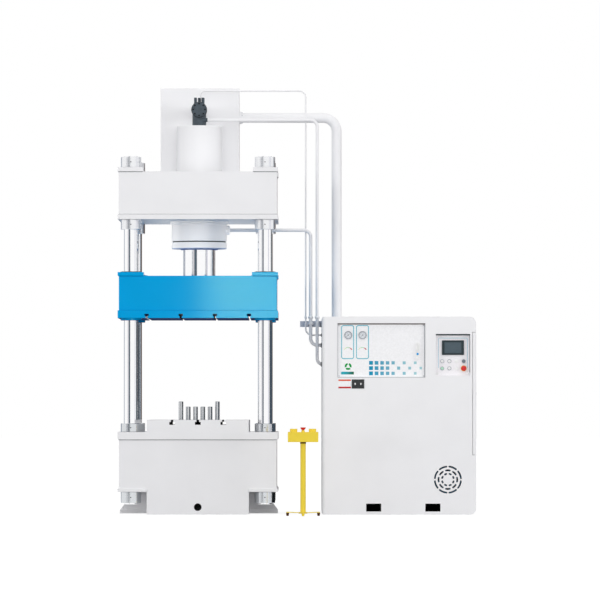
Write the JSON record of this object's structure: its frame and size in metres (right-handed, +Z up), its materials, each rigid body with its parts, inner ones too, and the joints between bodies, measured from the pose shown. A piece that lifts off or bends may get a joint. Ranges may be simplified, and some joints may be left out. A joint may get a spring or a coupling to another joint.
{
  "type": "hydraulic press",
  "caption": "Upright column press with a moving slide, ejector pins, overhead cylinder and filling tank, a power cabinet beside it and a control stand.",
  "frame": {"origin": "on the floor under the press, midway between the columns", "axes": "+X to the cabinet side, +Y to the back, +Z up along the press stroke"},
  "size_m": [3.165, 2.153, 3.807],
  "materials": {
    "white_paint": "semi-gloss enamel",
    "blue_paint": "gloss enamel",
    "yellow_paint": "semi-gloss enamel",
    "machined_steel": "ground",
    "hard_chrome": "polished",
    "dark_casting": "satin",
    "bronze": "turned",
    "black_plastic": "satin",
    "grey_plastic": "satin",
    "white_plastic": "gloss",
    "red_plastic": "gloss",
    "rubber": "matte",
    "panel_print": "printed"
  },
  "bodies": {
    "machine": {"base_frame": "white_paint", "work_table": "white_paint", "crown_nuts": "hard_chrome", "base_nuts": "hard_chrome", "crown_frame": "white_paint", "main_cylinder": "white_paint", "cylinder_gland": "white_paint", "flange_bolts": "dark_casting", "prefill_valve": "dark_casting", "prefill_cover": "dark_casting", "filling_tank": "white_paint", "return_pipe": "white_paint", "valve_pipe": "white_paint", "pressure_pipe": "white_paint", "pilot_pipe": "white_paint", "pipe_unions": "machined_steel", "pipe_bracket": "machined_steel", "ejector_cylinder": "dark_casting", "cabinet_shell": "white_paint", "instrument_panel": "panel_print", "level_sight": "white_plastic", "touch_screen": "grey_plastic", "operator_plate": "panel_print", "panel_lamps": "white_plastic", "breaker_plate": "black_plastic", "oil_tank": "white_paint", "motor_housing": "dark_casting", "pump": "dark_casting", "valve_manifold": "machined_steel", "solenoid_valves": "grey_plastic", "control_gear": "grey_plastic", "stand_base": "yellow_paint", "stand_post": "yellow_paint", "stand_box": "yellow_paint", "stand_feet": "rubber", "column_front_left": "hard_chrome", "column_front_right": "hard_chrome", "column_rear_left": "hard_chrome", "column_rear_right": "hard_chrome"},
    "slide": {"slide_beam": "blue_paint", "slide_bushes": "bronze", "piston_rod": "hard_chrome"},
    "ejector": {"cushion_plate": "machined_steel", "cushion_pins": "machined_steel", "ejector_rod": "hard_chrome"},
    "selector": {"selector_knob": "grey_plastic"},
    "panel_stop": {"panel_stop_button": "red_plastic"},
    "stand_stop": {"stand_stop_button": "red_plastic"},
    "door": {"side_door": "white_paint"},
    "rotor": {"motor_rotor": "machined_steel"},
    "button_top_left": {"push_button_top_left": "white_plastic"},
    "button_top_right": {"push_button_top_right": "white_plastic"},
    "button_low_left": {"push_button_low_left": "white_plastic"},
    "button_low_right": {"push_button_low_right": "white_plastic"},
    "breaker_left": {"breaker_lever_left": "white_plastic"},
    "needle_left": {"gauge_needle_left": "black_plastic"},
    "palm_left": {"palm_button_left": "black_plastic"},
    "breaker_right": {"breaker_lever_right": "white_plastic"},
    "needle_right": {"gauge_needle_right": "black_plastic"},
    "palm_right": {"palm_button_right": "black_plastic"}
  },
  "joints": [
    {"name": "slide_stroke", "type": "slide", "parent": "machine", "child": "slide", "axis": [0, 0, 1], "range_m": [-0.51, 0.19]},
    {"name": "ejector_stroke", "type": "slide", "parent": "machine", "child": "ejector", "axis": [0, 0, 1], "range_m": [-0.165, 0]},
    {"name": "selector_turn", "type": "hinge", "parent": "machine", "child": "selector", "pos_m": [2.3388, -0.66, 1.3475], "axis": [0, 1, 0], "range_deg": [-45, 45]},
    {"name": "panel_stop_press", "type": "slide", "parent": "machine", "child": "panel_stop", "axis": [0, 1, 0], "range_m": [0, 0.005]},
    {"name": "stand_stop_press", "type": "slide", "parent": "machine", "child": "stand_stop", "axis": [0, 0, -1], "range_m": [0, 0.005]},
    {"name": "door_swing", "type": "hinge", "parent": "machine", "child": "door", "pos_m": [2.454, 0.4, 0], "axis": [0, 0, 1], "range_deg": [0, 110]},
    {"name": "motor_spin", "type": "hinge", "parent": "machine", "child": "rotor", "pos_m": [2.1975, 0, 0.3068], "axis": [0, 1, 0], "continuous": true},
    {"name": "press_top_left", "type": "slide", "parent": "machine", "child": "button_top_left", "axis": [0, 1, 0], "range_m": [0, 0.004], "stiffness_N_per_m": 900, "springref_m": -0.001},
    {"name": "press_top_right", "type": "slide", "parent": "machine", "child": "button_top_right", "axis": [0, 1, 0], "range_m": [0, 0.004], "stiffness_N_per_m": 900, "springref_m": -0.001},
    {"name": "press_low_left", "type": "slide", "parent": "machine", "child": "button_low_left", "axis": [0, 1, 0], "range_m": [0, 0.004], "stiffness_N_per_m": 900, "springref_m": -0.001},
    {"name": "press_low_right", "type": "slide", "parent": "machine", "child": "button_low_right", "axis": [0, 1, 0], "range_m": [0, 0.004], "stiffness_N_per_m": 900, "springref_m": -0.001},
    {"name": "breaker_left_flip", "type": "hinge", "parent": "machine", "child": "breaker_left", "pos_m": [1.3831, -0.721, 1.1471], "axis": [1, 0, 0], "range_deg": [-30, 30]},
    {"name": "needle_left_turn", "type": "hinge", "parent": "machine", "child": "needle_left", "pos_m": [1.3226, -0.69, 1.5765], "axis": [0, 1, 0], "range_deg": [0, 270], "stiffness_Nm_per_rad": 0.002},
    {"name": "palm_left_press", "type": "slide", "parent": "machine", "child": "palm_left", "axis": [0, 0, -1], "range_m": [0, 0.005], "stiffness_N_per_m": 1500, "springref_m": -0.002},
    {"name": "breaker_right_flip", "type": "hinge", "parent": "machine", "child": "breaker_right", "pos_m": [1.4331, -0.721, 1.1471], "axis": [1, 0, 0], "range_deg": [-30, 30]},
    {"name": "needle_right_turn", "type": "hinge", "parent": "machine", "child": "needle_right", "pos_m": [1.4486, -0.69, 1.5765], "axis": [0, 1, 0], "range_deg": [0, 270], "stiffness_Nm_per_rad": 0.002},
    {"name": "palm_right_press", "type": "slide", "parent": "machine", "child": "palm_right", "axis": [0, 0, -1], "range_m": [0, 0.005], "stiffness_N_per_m": 1500, "springref_m": -0.002}
  ]
}
